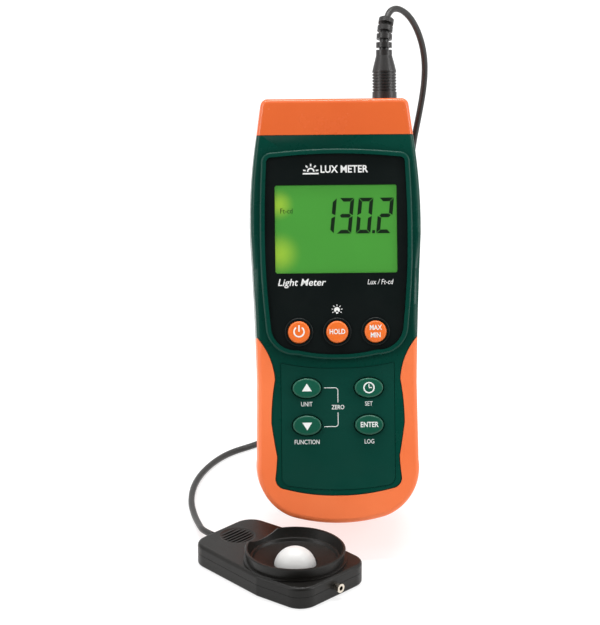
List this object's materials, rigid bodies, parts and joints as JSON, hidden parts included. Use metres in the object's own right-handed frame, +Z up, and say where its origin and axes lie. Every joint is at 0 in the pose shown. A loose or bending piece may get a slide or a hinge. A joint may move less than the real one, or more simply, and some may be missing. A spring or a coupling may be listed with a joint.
{
  "type": "light meter",
  "caption": "Hand-held digital light meter on its tilt stand, with a remote dome sensor head joined by a plug-in lead.",
  "frame": {"origin": "on the surface the meter stands on, under the middle of the box round the standing meter and its sensor head, the lead left out", "axes": "+Z up, +X to the right of someone reading the display, +Y away from them"},
  "size_m": [0.108, 0.223, 0.2129],
  "materials": {
    "green_case": "satin moulded ABS",
    "orange_cap": "satin moulded ABS",
    "orange_rubber": "soft-touch moulded elastomer",
    "black_panel": "semi-gloss",
    "clear_window": "clear",
    "lcd_glass": "backlit green film",
    "white_plastic": "satin",
    "black_rubber": "matte",
    "grey_rubber": "matte",
    "circuit_board": "solder mask",
    "black_plastic": "fine texture",
    "steel_sheet": "rolled",
    "cell_sleeve": "printed sleeve",
    "brass_insert": "machined",
    "steel_screws": "nickel-plated steel",
    "orange_keys": "satin silicone",
    "green_keys": "satin silicone",
    "nickel_plate": "bright nickel",
    "sensor_plastic": "fine spark-eroded texture",
    "white_diffuser": "opal acrylic",
    "filter_glass": "green filter"
  },
  "bodies": {
    "meter": {"front_case": "green_case", "rear_case": "green_case", "top_cap": "orange_cap", "grip_boot": "orange_rubber", "display_panel": "black_panel", "keypad_plate": "green_case", "lcd_window": "clear_window", "lcd_glass": "lcd_glass", "lcd_frame": "white_plastic", "light_guide": "white_plastic", "contact_strips": "black_rubber", "backlight_lamps": "white_plastic", "main_board": "circuit_board", "board_components": "black_plastic", "contact_mat": "grey_rubber", "buzzer": "black_plastic", "port_panel": "black_plastic", "dc_jack": "black_plastic", "serial_jack": "black_plastic", "card_holder": "steel_sheet", "battery_cells": "cell_sleeve", "battery_springs": "steel_sheet", "battery_contacts": "steel_sheet", "tripod_nut": "brass_insert", "case_screws": "steel_screws", "sensor_socket": "black_plastic", "cord_coil": "black_rubber", "coil_tie": "grey_rubber", "cord_lower": "black_rubber"},
    "power_key": {"power_key": "orange_keys"},
    "hold_key": {"hold_key": "orange_keys"},
    "max_min_key": {"max_min_key": "orange_keys"},
    "up_key": {"up_key": "green_keys"},
    "unit_key": {"unit_key": "green_keys"},
    "down_key": {"down_key": "green_keys"},
    "enter_key": {"enter_key": "green_keys"},
    "battery_cover": {"battery_cover": "green_case", "cover_screws": "steel_screws", "stand_pin": "steel_screws"},
    "tilt_stand": {"tilt_stand": "black_plastic"},
    "side_door": {"side_door": "orange_rubber"},
    "memory_card": {"memory_card": "black_plastic"},
    "reset_button": {"reset_button": "white_plastic"},
    "lead": {"plug_body": "black_plastic", "plug_barrel": "nickel_plate", "plug_pins": "nickel_plate", "strain_relief": "black_rubber", "cord_upper": "black_rubber"},
    "sensor": {"sensor_base": "sensor_plastic", "sensor_top": "sensor_plastic", "diffuser_dome": "white_diffuser", "colour_filter": "filter_glass", "photodiode": "nickel_plate", "sensor_board": "circuit_board", "sensor_screws": "steel_screws", "cable_gland": "black_rubber", "front_stud": "nickel_plate"}
  },
  "joints": [
    {"name": "power_key_press", "type": "slide", "parent": "meter", "child": "power_key", "axis": [0, 0.9205, -0.3907], "range_m": [0, 0.001], "stiffness_N_per_m": 500},
    {"name": "hold_key_press", "type": "slide", "parent": "meter", "child": "hold_key", "axis": [0, 0.9205, -0.3907], "range_m": [0, 0.001], "stiffness_N_per_m": 500},
    {"name": "max_min_key_press", "type": "slide", "parent": "meter", "child": "max_min_key", "axis": [0, 0.9205, -0.3907], "range_m": [0, 0.001], "stiffness_N_per_m": 500},
    {"name": "up_key_press", "type": "slide", "parent": "meter", "child": "up_key", "axis": [0, 0.9205, -0.3907], "range_m": [0, 0.001], "stiffness_N_per_m": 500},
    {"name": "unit_key_press", "type": "slide", "parent": "meter", "child": "unit_key", "axis": [0, 0.9205, -0.3907], "range_m": [0, 0.001], "stiffness_N_per_m": 500},
    {"name": "down_key_press", "type": "slide", "parent": "meter", "child": "down_key", "axis": [0, 0.9205, -0.3907], "range_m": [0, 0.001], "stiffness_N_per_m": 500},
    {"name": "enter_key_press", "type": "slide", "parent": "meter", "child": "enter_key", "axis": [0, 0.9205, -0.3907], "range_m": [0, 0.001], "stiffness_N_per_m": 500},
    {"name": "cover_removal", "type": "slide", "parent": "meter", "child": "battery_cover", "axis": [0, 0.9205, -0.3907], "range_m": [0, 0.01]},
    {"name": "stand_fold", "type": "hinge", "parent": "battery_cover", "child": "tilt_stand", "pos_m": [0.012, 0.04997, 0.09946], "axis": [-1, 0, 0], "range_deg": [0, 34.8]},
    {"name": "door_removal", "type": "slide", "parent": "meter", "child": "side_door", "axis": [1, 0, 0], "range_m": [0, 0.012]},
    {"name": "card_push", "type": "slide", "parent": "meter", "child": "memory_card", "axis": [-1, 0, 0], "range_m": [0, 0.001], "stiffness_N_per_m": 400},
    {"name": "reset_press", "type": "slide", "parent": "meter", "child": "reset_button", "axis": [-1, 0, 0], "range_m": [0, 0.0006], "stiffness_N_per_m": 600},
    {"name": "plug_pull", "type": "slide", "parent": "meter", "child": "lead", "axis": [0, 0.3907, 0.9205], "range_m": [0, 0.012]},
    {"name": "sensor_turn", "type": "hinge", "parent": "meter", "child": "sensor", "pos_m": [-0.04068, -0.01862, 0.005], "axis": [0, 0, -1], "range_deg": [0, 40]}
  ]
}
